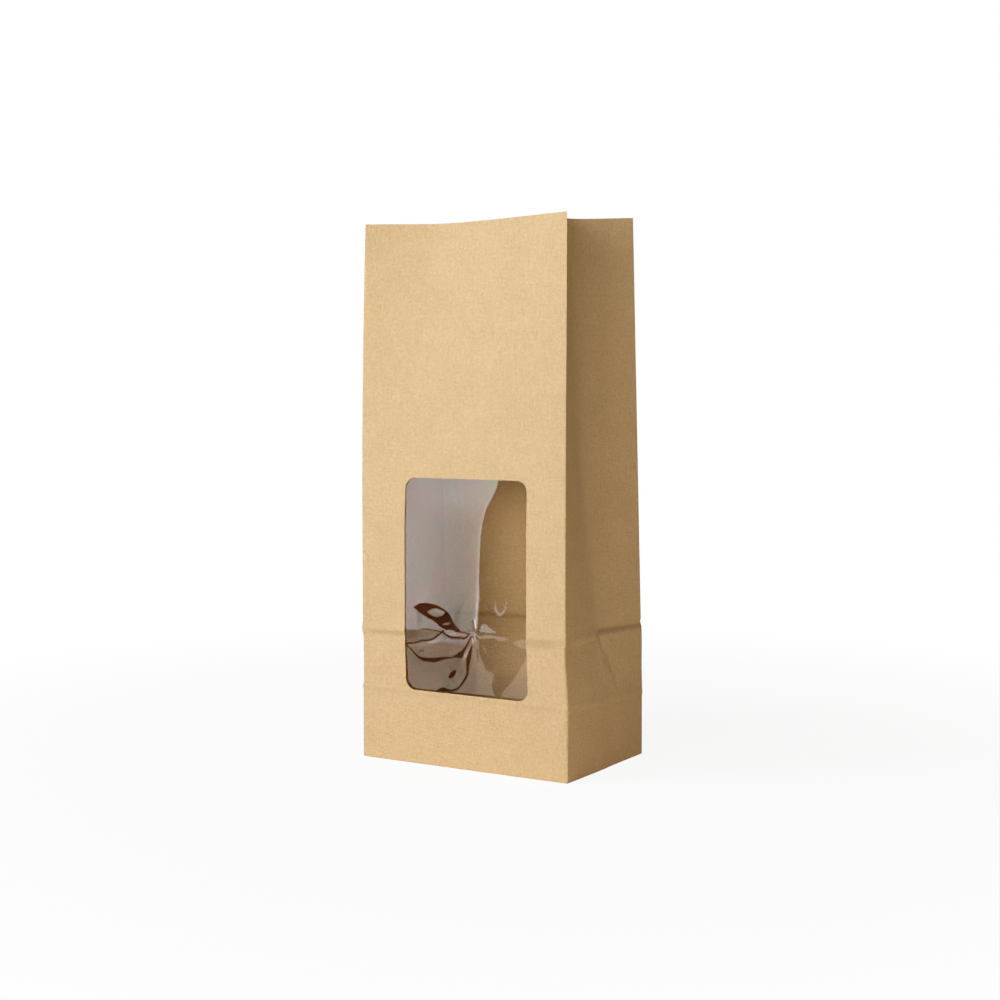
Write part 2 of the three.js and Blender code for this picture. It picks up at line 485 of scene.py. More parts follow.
# Gives the sheet its thickness inwards, with the cut edges in the second material.
def thicken(piece, wall):
    solid = piece.modifiers.new("thickness", "SOLIDIFY")
    solid.thickness = wall * metre
    solid.offset = -1
    solid.use_even_offset = True
    solid.material_offset_rim = 1
    graph = bpy.context.evaluated_depsgraph_get()
    finished = bpy.data.meshes.new_from_object(piece.evaluated_get(graph))
    piece.modifiers.clear()
    piece.data = finished
    for face in finished.polygons:
        face.use_smooth = face.material_index == 0
    finished.set_sharp_from_angle(angle=math.radians(meshing["sharpFrom"]))


# Writes a value for each vertex, worked out from its place in millimetres.
def markPlaces(piece, name, valueAt):
    places = np.array([vertex.co for vertex in piece.data.vertices]) / metre
    attribute = piece.data.attributes.new(name, "FLOAT", "POINT")
    attribute.data.foreach_set("value", valueAt(*places.T).astype(np.float32))


# Adds a node. What an input gets is a constant, or the output of another node.
def addNode(tree, kind, inputs=None, **settings):
    node = tree.nodes.new(kind)
    for name, value in settings.items():
        setattr(node, name, value)
    for name, value in (inputs or {}).items():
        if isinstance(value, bpy.types.NodeSocket):
            tree.links.new(value, node.inputs[name])
        else:
            node.inputs[name].default_value = value
    return node


def easedRange(tree, value, start, end, least=0.0):
    inputs = {"Value": value, "From Min": start, "From Max": end, "To Min": least}
    return addNode(tree, "ShaderNodeMapRange", inputs, interpolation_type="SMOOTHSTEP").outputs["Result"]


def calculate(tree, operation, a, b):
    return addNode(tree, "ShaderNodeMath", {0: a, 1: b}, operation=operation).outputs[0]


# A colour Mix node has its two colours at inputs 6 and 7, and the mixed one at output 2.
def mixColours(tree, share, first, second):
    inputs = {"Factor": share, 6: first, 7: second}
    return addNode(tree, "ShaderNodeMix", inputs, data_type="RGBA").outputs[2]


def setStops(node, stops):
    elements = node.color_ramp.elements
    while len(elements) < len(stops):
        elements.new(0.5)
    for element, (place, colour) in zip(elements, stops):
        element.position = place
        element.color = colour


def newMaterial(name):
    material = bpy.data.materials.new(name)
    material.use_nodes = True
    material.node_tree.nodes.clear()
    return material, material.node_tree


kraft = {
    "dark": (0.615, 0.440, 0.235, 1),
    "light": (0.765, 0.582, 0.345, 1),
    "edge": (0.80, 0.63, 0.41, 1),
    "spread": (0.2, 0.8),          # the tones that get the dark and the light colour
    # the colour of the painted shade along the creases
    "creaseShadeColour": (0.36, 0.25, 0.13, 1),
    "creaseShading": 0.3,                   # how much of the painted crease shade's colour shows where that shade is strongest
    "mottleSize": 880.0,
    "cloudSize": 55.0,
    "fibreSize": 1150.0,
    "fibreUpright": (1.0, 1.0, 0.16),
    "fibreLevel": (0.22, 0.22, 1.0),
    "fibreShare": 0.45,            # of fibres over mottle, and of clouds over both
    "cloudShare": 0.22,
    "roughness": (0.92, 0.78),     # of its dark and of its light fibres
    "specular": 0.22,
    "bump": 1.0,
    "bumpDepth": 0.00045,
}


# The mottled fibre of uncoated paper: a tone from 0 to 1 and a height.
def paperFibreGroup():
    group = bpy.data.node_groups.new("paperFibre", "ShaderNodeTree")
    sockets = {"Mottle Size": "INPUT", "Fibre Size": "INPUT", "Tone": "OUTPUT", "Height": "OUTPUT"}
    for name, way in sockets.items():
        group.interface.new_socket(name, in_out=way, socket_type="NodeSocketFloat")
    start = addNode(group, "NodeGroupInput")
    place = addNode(group, "ShaderNodeTexCoord").outputs["Object"]

    mottle = addNode(group, "ShaderNodeTexNoise", {
        "Vector": place,
        "Scale": start.outputs["Mottle Size"],
        "Detail": 3.0,
        "Roughness": 0.55,
    })
    clouds = addNode(group, "ShaderNodeTexNoise", {
        "Vector": place,
        "Scale": kraft["cloudSize"],
        "Detail": 2.0,
    })

    # fibres lie along the sheet, drawn out upright and level
    strands = []
    for stretch in (kraft["fibreUpright"], kraft["fibreLevel"]):
        drawn = addNode(group, "ShaderNodeMapping", {"Vector": place, "Scale": stretch})
        strand = addNode(group, "ShaderNodeTexNoise", {
            "Vector": drawn.outputs["Vector"],
            "Scale": start.outputs["Fibre Size"],
            "Detail": 2.0,
            "Roughness": 0.6,
            "Distortion": 0.6,
        })
        strands.append(strand.outputs["Fac"])

    fibres = {"Value": calculate(group, "ADD", *strands), "From Min": 0.6, "From Max": 1.4}
    grain = {"Value": mottle.outputs["Fac"], "From Min": 0.25, "From Max": 0.75}
    fine = addNode(group, "ShaderNodeMix", {
        "Factor": kraft["fibreShare"],
        "A": addNode(group, "ShaderNodeMapRange", grain).outputs["Result"],
        "B": addNode(group, "ShaderNodeMapRange", fibres).outputs["Result"],
    })
    tone = addNode(group, "ShaderNodeMix", {
        "Factor": kraft["cloudShare"],
        "A": fine.outputs["Result"],
        "B": clouds.outputs["Fac"],
    })
    addNode(group, "NodeGroupOutput", {"Tone": tone.outputs["Result"], "Height": fine.outputs["Result"]})
    return group


# Painted shade along the creases and the gussets' valley: each dark line comes between its first two
# distances from a crease, or shares of the way back, and goes between the next two.
creaseShading = {
    "frontHigh": (0.8, -0.4, -1.0),
    "frontReach": (3.4, 5.6),      # how far down that one runs, at the left and at the right
    "frontTurn": (0.3, 0.8),
    "frontLow": (-0.6, -1.4, -4.4, -1.4),
    "frontLowShare": 0.35,
    "gussetHigh": (1.2, 0, -2.8, -1.2),
    "gussetFront": 0.35,           # share of it that is left at the gusset's front
    "gussetTurn": (0.4, 0.6),
    "gussetLow": (-0.2, 0.6, 8, 0),
    "gussetLowBack": (0.25, 0.5),
    "gussetLowShare": 0.3,
    "valley": (-11, -1, 0.6, -0.6),
    "valleyTop": (0, -2),
    "valleyShare": 0.55,
    "sideFrom": (0.44, 0.46),      # shares of the width beyond which a place is on a gusset
}


def darkLine(distances, name):
    come, full, gone, fading = creaseShading[name]
    return between(distances, come, full) * between(distances, gone, fading)


# How much painted shade darkens the paper along its creases and the gussets' valley, at each place of the
# bag.
def creaseShadeAt(x, y, z):
    right, back = x / bag["width"] + 0.5, y / bag["depth"] + 0.5

    def above(crease):
        front = mix(bag[crease]["frontLeft"], bag[crease]["frontRight"], right)
        rear = mix(bag[crease]["backLeft"], bag[crease]["backRight"], right)
        return z - mix(front, rear, back)

    high, low = above("highCrease"), above("lowCrease")
    come, full, fading = creaseShading["frontHigh"]
    reach = mix(*creaseShading["frontReach"], between(right, *creaseShading["frontTurn"]))
    front = between(high, come, full) * between(high, -reach, fading)
    front += creaseShading["frontLowShare"] * darkLine(low, "frontLow")
    gusset = mix(creaseShading["gussetFront"], 1, between(back, *creaseShading["gussetTurn"])) * darkLine(high, "gussetHigh")
    gusset += creaseShading["gussetLowShare"] * darkLine(low, "gussetLow") * between(back, *creaseShading["gussetLowBack"])
    down = np.clip(-high / (bag["highCrease"]["backRight"] - bag["lowCrease"]["backRight"]), 0, 1)
    aside = (back - mix(0.5, bag["gussetFoot"], down)) * bag["depth"]
    valley = darkLine(aside, "valley") * between(high, *creaseShading["valleyTop"]) * (1 - down)
    gusset += creaseShading["valleyShare"] * valley
    onSide = between(np.abs(right - 0.5), *creaseShading["sideFrom"])
    return kraft["creaseShading"] * np.clip(mix(front, gusset, onSide), 0, 1)


def paperMaterial(name, fibre, dark, light):
    material, tree = newMaterial(name)
    sizes = {"Mottle Size": kraft["mottleSize"], "Fibre Size": kraft["fibreSize"]}
    grain = addNode(tree, "ShaderNodeGroup", sizes, node_tree=fibre)
    tone = grain.outputs["Tone"]
    colour = addNode(tree, "ShaderNodeValToRGB", {"Fac": tone})
    setStops(colour, list(zip(kraft["spread"], (dark, light))))
    # painted shade along the creases, mixed into the paper's colour
    paintedCreaseShade = addNode(tree, "ShaderNodeAttribute", attribute_name="paintedCreaseShade")
    bump = addNode(tree, "ShaderNodeBump", {
        "Height": grain.outputs["Height"],
        "Strength": kraft["bump"],
        "Distance": kraft["bumpDepth"],
    })
    rough, smooth = kraft["roughness"]
    shine = addNode(tree, "ShaderNodeMapRange", {"Value": tone, "To Min": rough, "To Max": smooth})
    surface = addNode(tree, "ShaderNodeBsdfPrincipled", {
        "Base Color": mixColours(tree, paintedCreaseShade.outputs["Fac"], colour.outputs["Color"], kraft["creaseShadeColour"]),
        "Roughness": shine.outputs["Result"],
        "Specular IOR Level": kraft["specular"],
        "Normal": bump.outputs["Normal"],
    })
    addNode(tree, "ShaderNodeOutputMaterial", {"Surface": surface.outputs["BSDF"]})
    return material


fibre = paperFibreGroup()
kraftPaper = paperMaterial("kraftPaper", fibre, kraft["dark"], kraft["light"])
cutEdge = paperMaterial("cutEdge", fibre, kraft["light"], kraft["edge"])

paperBag = buildPaperBag()
paperBag.data.materials.append(kraftPaper)
paperBag.data.materials.append(cutEdge)
thicken(paperBag, bag["wall"])
# the painted crease shade, worked out for each vertex
markPlaces(paperBag, "paintedCreaseShade", creaseShadeAt)
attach(paperBag, "root")
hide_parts("paper_bag")
print("paper bag:", len(paperBag.data.polygons), "faces")

flaps = {
    "inset": 1.3,      # they stop so far from the bottom's edges
    "overlap": 9.0,    # and run so far past the middle
    "wall": 0.25,
}


# A flat flap of paper whose short sides run in at 45 degrees.
def bottomFlap(name, nearY, farY, level):
    half = bag["width"] / 2 - flaps["inset"]
    reach = half - abs(farY - nearY)
    outline = [(-half, nearY), (half, nearY), (reach, farY), (-reach, farY)]
    if nearY > farY:
        outline.reverse()
    points = [Vector((x, y, z)) * metre for z in (level, level + flaps["wall"]) for x, y in outline]
    sides = [(i, (i + 1) % 4, (i + 1) % 4 + 4, i + 4) for i in range(4)]
    piece = meshObject(name, points, [(3, 2, 1, 0), (4, 5, 6, 7), *sides])
    piece.data.materials.append(kraftPaper)
    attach(piece, "root")


edgeY = bag["depth"] / 2 - flaps["inset"]
bottomFlap("bottom_flap_inner", -edgeY, flaps["overlap"], flaps["wall"])
bottomFlap("bottom_flap_outer", edgeY, -flaps["overlap"], 0.0)
print("bottom flaps")

film = {
    "fine": 0.42,                  # mesh steps: in the crumpled part, above it, and in the glued margin
    "coarse": 1.3,
    "margin": 2.0,
    "crumpledTo": 88.0,
    "wall": 0.05,
    "mirror": 1.86,                # index of refraction
    "roughness": 0.02,
    "clear": (0.985, 0.965, 0.92, 1),  # what each face lets through: plainly, and darkened by painted shade on a crease
    "folded": (0.70, 0.55, 0.60, 1),
    "sheenSize": 70.0,
    "sheen": [(0.36, (0.90, 0.97, 0.93, 1)), (0.5, (0.95, 0.94, 0.96, 1)), (0.64, (1.0, 0.91, 0.95, 1))],
    "glue": 0.05,                  # between the paper and the film
    "clearance": 0.15,             # it stands so much further behind the creased paper round the window
    "slack": 0.065,                # slope of the film from its upright fold to the window's right side
    "slackFoot": -0.1,             # share of that slope left in its lower part
    "slackGone": (84, 100),        # it goes between these heights
    "footShare": 0.45,             # share of the film's depth left at its foot
    "footEnds": (36, 55),          # the rest comes between these heights
    "foldRounding": 1.3,
    "settle": (1.6, 6.6),          # the slack goes between these distances behind the paper
    "bulge": 0.2,                  # how steeply it may stand out of the window
    "creaseTilt": 0.024,           # the film leans back below the level crease
    "creaseLevel": 68.2,
    "tiltRounding": 0.8,
    "creaseSlope": 0.12,           # slope across the narrowest crease
    "creaseTaper": 0.2,            # share of its length over which a crease comes and goes
    "creaseTail": (1.0, 2.2),      # a crease evens out over this length and so many of its widths
    "creaseEdge": 0.35,
}

# the upright fold runs down to the star where the film was creased with the bag
foldLine = [
    (22.5, 152), (20.5, 140.5), (17.6, 135.5), (14.4, 131), (12.2, 125), (10.8, 118), (10.2, 110),
    (9.8, 101), (9.2, 88), (7.5, 68), (8.5, 50), (9, 29),
]

# creases that tilt the film away from the light, each a path of places with the half width at each; along
# them the reflection is also painted out, over a darker painted shade
filmCreases = {
    "arm": [
        (-27.6, 79.2, 0.6), (-25.2, 79.2, 2.0), (-21.8, 78.6, 3.2), (-17, 77.5, 3.9), (-12.8, 75.7, 4.3),
        (-9.6, 73.4, 4.2), (-6.4, 70.9, 2.6), (-1.8, 69.1, 0.6),
    ],
    "level": [(-25, 68.3, 0.05), (-22.3, 68.7, 0.16), (-17.9, 68.6, 0.16), (-12, 67.8, 0.2)],
    "slant": [
        (-35.5, 60.1, 0.4), (-27.3, 61.4, 0.32), (-23.4, 62.7, 0.3), (-18.5, 63.5, 0.32),
        (-15.2, 65.3, 0.34), (-12.5, 67.2, 0.36), (-11, 68.4, 0.4),
    ],
    "lensTop": [(-3.3, 68.7, 0.15), (-0.1, 68.5, 0.22), (4.4, 67.9, 0.2)],
    "lensFoot": [
        (-11.4, 67.9, 0.3), (-8.2, 66.1, 0.5), (-5.5, 65.5, 0.5), (-1.2, 65.7, 0.42), (1.5, 65.8, 0.36),
        (3.6, 67.2, 0.26), (4.3, 68.2, 0.2),
    ],
    "bowl": [
        (-35.5, 61.2, 0.4), (-30.6, 58.2, 0.36), (-27.3, 55.2, 0.5), (-25.1, 53.8, 0.7),
        (-21.8, 53.1, 1.0), (-17.4, 53.2, 1.1), (-13.1, 54.2, 0.85), (-10.4, 54.8, 0.55),
        (-6.6, 55.4, 0.38), (-3.9, 56.3, 0.75), (-1.6, 56.9, 1.5), (0.2, 58.9, 0.7), (1.8, 61.0, 0.45),
        (3.6, 64.1, 0.34), (4.8, 66.6, 0.3),
    ],
    "outer": [
        (-16.4, 37.4, 0.3), (-12, 38.9, 0.9), (-8, 38.5, 0.5), (-4.5, 39.3, 0.4), (-2.3, 40.9, 0.4),
        (0.4, 44.3, 0.45), (2.2, 47.7, 0.5), (2.6, 51.5, 0.8), (3, 54.5, 1.1), (4.1, 58.2, 0.9),
        (5.6, 62.6, 0.25),
    ],
    "bead": [(-7.9, 45.4, 0.8), (-6.3, 46.9, 1.3), (-4.8, 48.4, 0.8)],
    "dash": [(-25.7, 57.6, 0.1), (-24, 57.5, 0.28), (-22.6, 57.2, 0.1)],
    "darkUp": [(6.1, 75, 0.1), (6.3, 73, 0.25), (6.7, 70.4, 0.15)],
}

# gaps in those creases' painted shade, where the reflection is left to show again
filmGaps = {
    "armHole": [
        (-20, 77.4, 0.3), (-17.6, 77.4, 1.7), (-14.6, 77.3, 2.0), (-12, 77.4, 1.4), (-10.2, 77.9, 0.4),
    ],
    "armStripe": [(-11.2, 71.7, 0.3), (-9, 72.1, 0.7), (-7, 72.6, 0.3)],
    "underArm": [(-9.6, 68.5, 0.3), (-7.2, 68.8, 0.6), (-4.8, 68.7, 0.4)],
}

# painted glints along the creases, where the film's reflection is painted stronger: how much stronger, and
# a path like those above; a gain below 0 paints shade there instead
filmPaintedGlints = {
    "upright": (2.2, [(7.1, 76, 0.1), (7.4, 72.9, 0.34), (7.9, 70.2, 0.2)]),
    "star": (1.6, [(3.8, 68.8, 0.1), (4.8, 68.4, 0.35), (6.4, 68.2, 0.2)]),
    "foot": (1.6, [
        (7.2, 67.4, 0.5), (6.2, 64.4, 0.8), (4.8, 61.2, 0.6), (2.2, 57.8, 0.5), (0.6, 55.6, 0.3),
    ]),
    "slantFoot": (0.4, [(-31, 60.1, 0.3), (-22, 61, 0.8), (-14, 63, 0.8), (-9, 64, 0.3)]),
    "lens": (0.35, [(-9, 67.0, 0.3), (-4, 67.0, 0.7), (0, 67.0, 0.7), (3.4, 67.7, 0.2)]),
    "shade": (-0.5, [(-36, 64, 3.2), (-28, 64.9, 2.9), (-21, 66, 2.3), (-14, 67.4, 0.6)]),
    "foldEdge": (0.5, [(9.2, 92, 0.2), (8.4, 82, 0.35), (8.0, 74, 0.3)]),
}

# the outline of the part to the right of the fold, where the film leans away from the light and its
# reflection is painted out
filmClear = [
    (27, 156, 1.0), (23.4, 144, 1.0), (21.4, 140.5, 0.8), (18.5, 135.5, 0.6), (15.3, 131, 0.5),
    (13.1, 125, 0.4), (11.7, 118, 0.3), (11.1, 110, 0.3), (10.7, 101, 0.3), (10.1, 88, 0.3),
    (8.6, 71, 0.3), (8.9, 67.5, 0.4), (9.4, 65, 0.5), (9.9, 58.7, 0.5), (12.1, 53, 0.5),
    (13.6, 50.5, 0.4), (17.8, 49.2, 0.3), (17.2, 46, 0.3), (16.8, 41.3, 0.3), (19.9, 37.2, 0.5),
    (23, 41, 0.4), (28.2, 46.4, 0.3), (30.6, 49.6, 0.3), (33.3, 53.9, 0.5), (36.9, 58.2, 0.5),
    (37.4, 62.4, 0.5), (48, 62.9, 0.4),
]

# patches in it where the reflection is painted back: how fully, and paths like those above; above 1 it is
# painted stronger than elsewhere
filmReflectionPatches = {
    "hook": (0.6, [
        (19.4, 85, 0.1), (19.3, 82, 0.7), (20.3, 79.6, 0.9), (22.2, 78.9, 0.8), (24, 80.4, 0.5),
        (25.2, 83.5, 0.3), (25.6, 87, 0.1),
    ]),
    "upper": (0.7, [(10.2, 69.2, 0.3), (12.6, 71.4, 2.0), (15, 70.6, 1.5), (18.8, 70, 0.4)]),
    "level": (1.2, [
        (9.6, 66.5, 0.5), (14, 67.2, 0.9), (18, 67.4, 0.6), (22, 66.8, 1.0), (26.4, 66.9, 0.3),
    ]),
    "side": (1.4, [(29.6, 65.0, 0.3), (33.2, 65.3, 1.9), (36, 65.2, 2.1), (44, 65.2, 2.0)]),
    "speck": (0.8, [(36.2, 92, 0.1), (36.9, 88.6, 0.9), (37.6, 85, 0.2)]),
    "drop": (1.2, [(12.2, 62.5, 0.2), (13, 60.6, 0.5), (13.4, 59, 0.1)]),
    "haze": (0.12, [(6, 52, 16), (46, 52, 16)]),
    "corner": (1.6, [(31.5, 38, 6), (34.5, 47, 4.6), (37.4, 55, 2.6), (39, 60, 1)]),
}

# sharp little rays where the folds meet
filmStar = {"at": (6.6, 68.2), "reach": 3.4, "fade": 3, "rays": 7, "turn": 0.8, "tilt": 0.45}


# A curve through the points.
def smoothPath(points, parts=5):
    line = [np.array(point, float) for point in points]
    line = [2 * line[0] - line[1], *line, 2 * line[-1] - line[-2]]
    curve = []
    for a, b, c, d in zip(line, line[1:], line[2:], line[3:]):
        for step in range(parts):
            t = step / parts
            curve.append(0.5 * (2 * b + (c - a) * t + (2 * a - 5 * b + 4 * c - d) * t * t
                                + (3 * b - a - 3 * c + d) * t ** 3))
    return np.array([*curve, line[-2]])


# For each place, its distance to the left of a path, its share of the way along and the width there.
def alongPath(x, z, path):
    curve = smoothPath(path)
    lengths = np.linalg.norm(np.diff(curve[:, :2], axis=0), axis=1)
    travelled = np.concatenate([[0], np.cumsum(lengths)])
    nearest = np.full(x.shape, np.inf)
    aside, along, width = np.zeros(x.shape), np.zeros(x.shape), np.ones(x.shape)
    for i, length in enumerate(lengths):
        (x0, z0, wide), (dx, dz, widens) = curve[i], (curve[i + 1] - curve[i]) / length
        forward = np.clip((x - x0) * dx + (z - z0) * dz, 0, length)
        offX, offZ = x - x0 - forward * dx, z - z0 - forward * dz
        away = np.hypot(offX, offZ)
        closer = away < nearest
        left = np.where(offZ * dx - offX * dz < 0, -1, 1)
        nearest = np.where(closer, away, nearest)
        aside = np.where(closer, left * away, aside)
        along = np.where(closer, (travelled[i] + forward) / travelled[-1], along)
        width = np.where(closer, wide + widens * forward, width)
    return aside, along, width


# How far outside the opening a place lies.
def outsideWindow(x, z):
    middleX, middleZ = (window["left"] + window["right"]) / 2, (window["bottom"] + window["top"]) / 2
    outX = np.abs(x - middleX) - (window["right"] - window["left"]) / 2
    outZ = np.abs(z - middleZ) - (window["top"] - window["bottom"]) / 2
    return np.hypot(np.maximum(outX, 0), np.maximum(outZ, 0))


# How far the film stands back from the paper's plane. A crease tilts it sharply and evens out slowly.
def filmDepth(x, z):
    knots = np.array(foldLine[::-1])
    line = np.interp(z, knots[:, 1], knots[:, 0])
    deepest = film["slack"] * (window["right"] - line)
    away = np.hypot(x - line, film["foldRounding"]) - film["foldRounding"]
    ease = mix(film["slackFoot"], 1, between(z, *film["slackGone"]))
    fall = np.where(x < line, away / (line - window["left"]), ease * away / (window["right"] - line))
    depth = deepest * np.maximum(1 - fall, 0) * mix(film["footShare"], 1, between(z, *film["footEnds"]))
    below = film["creaseLevel"] - z
    depth += film["creaseTilt"] * (below + np.hypot(below, film["tiltRounding"])) / 2
    steady, widths = film["creaseTail"]
    ends = film["creaseTaper"]
    for path in filmCreases.values():
        aside, along, width = alongPath(x, z, path)
        taper = smoothStep(along / ends) * smoothStep((1 - along) / ends)
        reach = np.exp(-(aside / (steady + widths * width)) ** 2)
        depth -= film["creaseSlope"] * taper * reach * width / (1 + width) * np.tanh(aside / width)
    near, far = film["settle"]
    settled = between(outsideWindow(x, z), far, near)
    dx, dz = x - filmStar["at"][0], z - filmStar["at"][1]
    away = np.hypot(dx, dz)
    rays = np.cos(filmStar["rays"] * np.arctan2(dz, dx) + filmStar["turn"])
    fade = np.exp(-(away / filmStar["reach"]) ** 2 * filmStar["fade"])
    depth += filmStar["tilt"] * rays * away / filmStar["rays"] * fade
    outmost = -film["bulge"] * np.maximum(insideWindow(x, z), 0)
    return (np.maximum(depth, outmost) + film["clearance"]) * settled


# How fully each place lies in a path's width, with an edge of so many soft lengths.
def inPath(x, z, path, softness):
    aside, _, width = alongPath(x, z, path)
    return smoothStep(0.5 + (width - np.abs(aside)) / film["creaseEdge"] / softness)


# A painted mask of the film's reflection and shade: the reflection is painted stronger (below 0),
# left as it is (0), painted out (1), and painted out over a darker painted shade (2).
def filmReflectionPaint(x, y, z):
    aside, _, soft = alongPath(x, z, filmClear)
    paintedReflectionShade = smoothStep(0.5 + aside / soft / 2)
    for share, path in filmReflectionPatches.values():
        paintedReflectionShade = np.minimum(paintedReflectionShade, 1 - share * inPath(x, z, path, 2))
    for path in filmCreases.values():
        paintedReflectionShade = np.maximum(paintedReflectionShade, 2 * inPath(x, z, path, 1))
    for path in filmGaps.values():
        paintedReflectionShade = np.minimum(paintedReflectionShade, 2 * (1 - inPath(x, z, path, 1)))
    for gain, path in filmPaintedGlints.values():
        paintedReflectionShade -= gain * inPath(x, z, path, 2) * (1 - np.clip(paintedReflectionShade, 0, 1))
    return paintedReflectionShade


# Places from stop to stop, evenly spaced between them at about each step.
def spread(stops, steps):
    places = [stops[0]]
    for start, end, step in zip(stops, stops[1:], steps):
        count = max(1, round((end - start) / step))
        places += [mix(start, end, (i + 1) / count) for i in range(count)]
    return places


def buildFilm():
    behind = bag["wall"] + film["glue"]
    fine, coarse, margin = film["fine"], film["coarse"], film["margin"]
    stops = [filmLow.x, window["left"] - 1, window["right"] + 1, filmHigh.x]
    columns = spread(stops, [margin, fine, margin])
    stops = [filmLow.z, window["bottom"] - 1, film["crumpledTo"], filmHigh.z]
    rows = spread(stops, [margin, fine, coarse])
    flatX, flatZ = np.meshgrid(columns, rows)
    depth = filmDepth(flatX, flatZ)
    points = []
    for row, z in enumerate(rows):
        for column, x in enumerate(columns):
            share = x / bag["width"] + 0.5
            y = smoothFront(share, z)[1]
            glued = soften(outsideWindow(x, z), *film["settle"])
            y -= glued * frontRelief(share, z) + frontWave(x, z)
            points.append(Vector((x, y + behind + depth[row, column], z)) * metre)
    return meshObject("window_film_sheet", points, gridFaces(len(columns), len(rows)))


# Clear glossy film: what lies behind shows, with a faint reflection over it. A painted mask paints
# that reflection out or stronger by places, and darkens what shows through on creases with painted shade.
def filmMaterial():
    material, tree = newMaterial("clearFilm")
    # the painted reflection and shade mask
    paintedReflectionShade = addNode(tree, "ShaderNodeAttribute", attribute_name="paintedReflectionShade").outputs["Fac"]
    paintedCreaseShade = calculate(tree, "SUBTRACT", paintedReflectionShade, 1.0)
    # painted shade: on a crease what the film lets through darkens towards the shade tint
    clear = addNode(tree, "ShaderNodeBsdfTransparent", {
        "Color": mixColours(tree, paintedCreaseShade, film["clear"], film["folded"]),
    })
    place = addNode(tree, "ShaderNodeTexCoord").outputs["Object"]
    sheen = addNode(tree, "ShaderNodeTexNoise", {
        "Vector": place,
        "Scale": film["sheenSize"],
        "Detail": 1.0,
    })
    tints = addNode(tree, "ShaderNodeValToRGB", {"Fac": sheen.outputs["Fac"]})
    setStops(tints, film["sheen"])
    gloss = addNode(tree, "ShaderNodeBsdfGlossy", {
        "Color": tints.outputs["Color"],
        "Roughness": film["roughness"],
    })
    # only the face towards the viewer reflects, as much as both faces of a real film together
    mirror = addNode(tree, "ShaderNodeFresnel", {"IOR": film["mirror"]})
    facing = addNode(tree, "ShaderNodeNewGeometry")
    outer = calculate(tree, "SUBTRACT", 1.0, facing.outputs["Backfacing"])
    # the reflection is painted out where the mask reaches 1
    flat = calculate(tree, "SUBTRACT", 1.0, calculate(tree, "MINIMUM", paintedReflectionShade, 1.0))
    shining = calculate(tree, "MULTIPLY", outer, flat)
    both = addNode(tree, "ShaderNodeMixShader", {
        "Fac": calculate(tree, "MULTIPLY", mirror.outputs["Fac"], shining),
        1: clear.outputs["BSDF"],
        2: gloss.outputs["BSDF"],
    })
    addNode(tree, "ShaderNodeOutputMaterial", {"Surface": both.outputs["Shader"]})
    return material


clearFilm = filmMaterial()
windowFilm = buildFilm()
windowFilm.data.materials.append(clearFilm)
windowFilm.data.materials.append(clearFilm)  # for its cut edges
thicken(windowFilm, film["wall"])
# the painted reflection and shade mask, worked out for each vertex
markPlaces(windowFilm, "paintedReflectionShade", filmReflectionPaint)
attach(windowFilm, "root")
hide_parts("window_film")
print("window film:", len(windowFilm.data.polygons), "faces")

studio = {
    "floorSize": 12.0,
    "floorColour": (0.93, 0.93, 0.93, 1),
    "floorBounce": (1.0, 0.82, 0.58, 1),
    "floorNear": 0.12,         # the floor runs out into the white backdrop between these distances
    "floorFar": 0.55,
    "floorGlow": 0.9,
    "backdrop": (1, 1, 1, 1),
    "ambient": (0.095, 0.076, 0.057, 1),
    "aim": (0.0, 0.0, 0.13),
}

# soft lights: azimuth from the front towards the right, elevation, distance, size, power and colour
lights = {
    "front": (-2, 11, 2.2, 1.0, 20, (1, 1, 1)),
    "key": (-40, 32, 1.0, 0.27, 3.9, (0.9, 1.03, 1.26)),
    "rake": (21, 6, 2.2, 0.5, 4.2, (1, 0.95, 0.88)),
    "high": (88, 62, 1.4, 0.2, 0.3, (1, 0.92, 0.8)),
    "side": (78, -9, 0.5, 0.1, 0.22, (1, 0.82, 0.62)),
    "top": (10, 80, 2.2, 0.8, 8, (1, 0.97, 0.93)),
}


# One flat face about its middle.
def squareBoard(name, across, up):
    corners = [(-across, -up, 0), (across, -up, 0), (across, up, 0), (-across, up, 0)]
    return meshObject(name, corners, [(0, 1, 2, 3)])


# A pale floor that runs out into the white backdrop, and throws the light back warm.
def buildFloor():
    half = studio["floorSize"] / 2
    floor = squareBoard("floor", half, half)
    material, tree = newMaterial("paleFloor")
    seen = addNode(tree, "ShaderNodeLightPath").outputs["Is Camera Ray"]
    surface = addNode(tree, "ShaderNodeBsdfDiffuse", {
        "Color": mixColours(tree, seen, studio["floorBounce"], studio["floorColour"]),
    })
    glow = addNode(tree, "ShaderNodeEmission", {"Color": studio["backdrop"]})
    place = addNode(tree, "ShaderNodeTexCoord").outputs["Object"]
    away = addNode(tree, "ShaderNodeVectorMath", {0: place}, operation="LENGTH").outputs["Value"]
    white = easedRange(tree, away, studio["floorNear"], studio["floorFar"], studio["floorGlow"])
    both = addNode(tree, "ShaderNodeMixShader", {
        "Fac": calculate(tree, "MULTIPLY", white, seen),
        1: surface.outputs["BSDF"],
        2: glow.outputs["Emission"],
    })
    addNode(tree, "ShaderNodeOutputMaterial", {"Surface": both.outputs["Shader"]})
    floor.data.materials.append(material)
    floor.visible_glossy = False


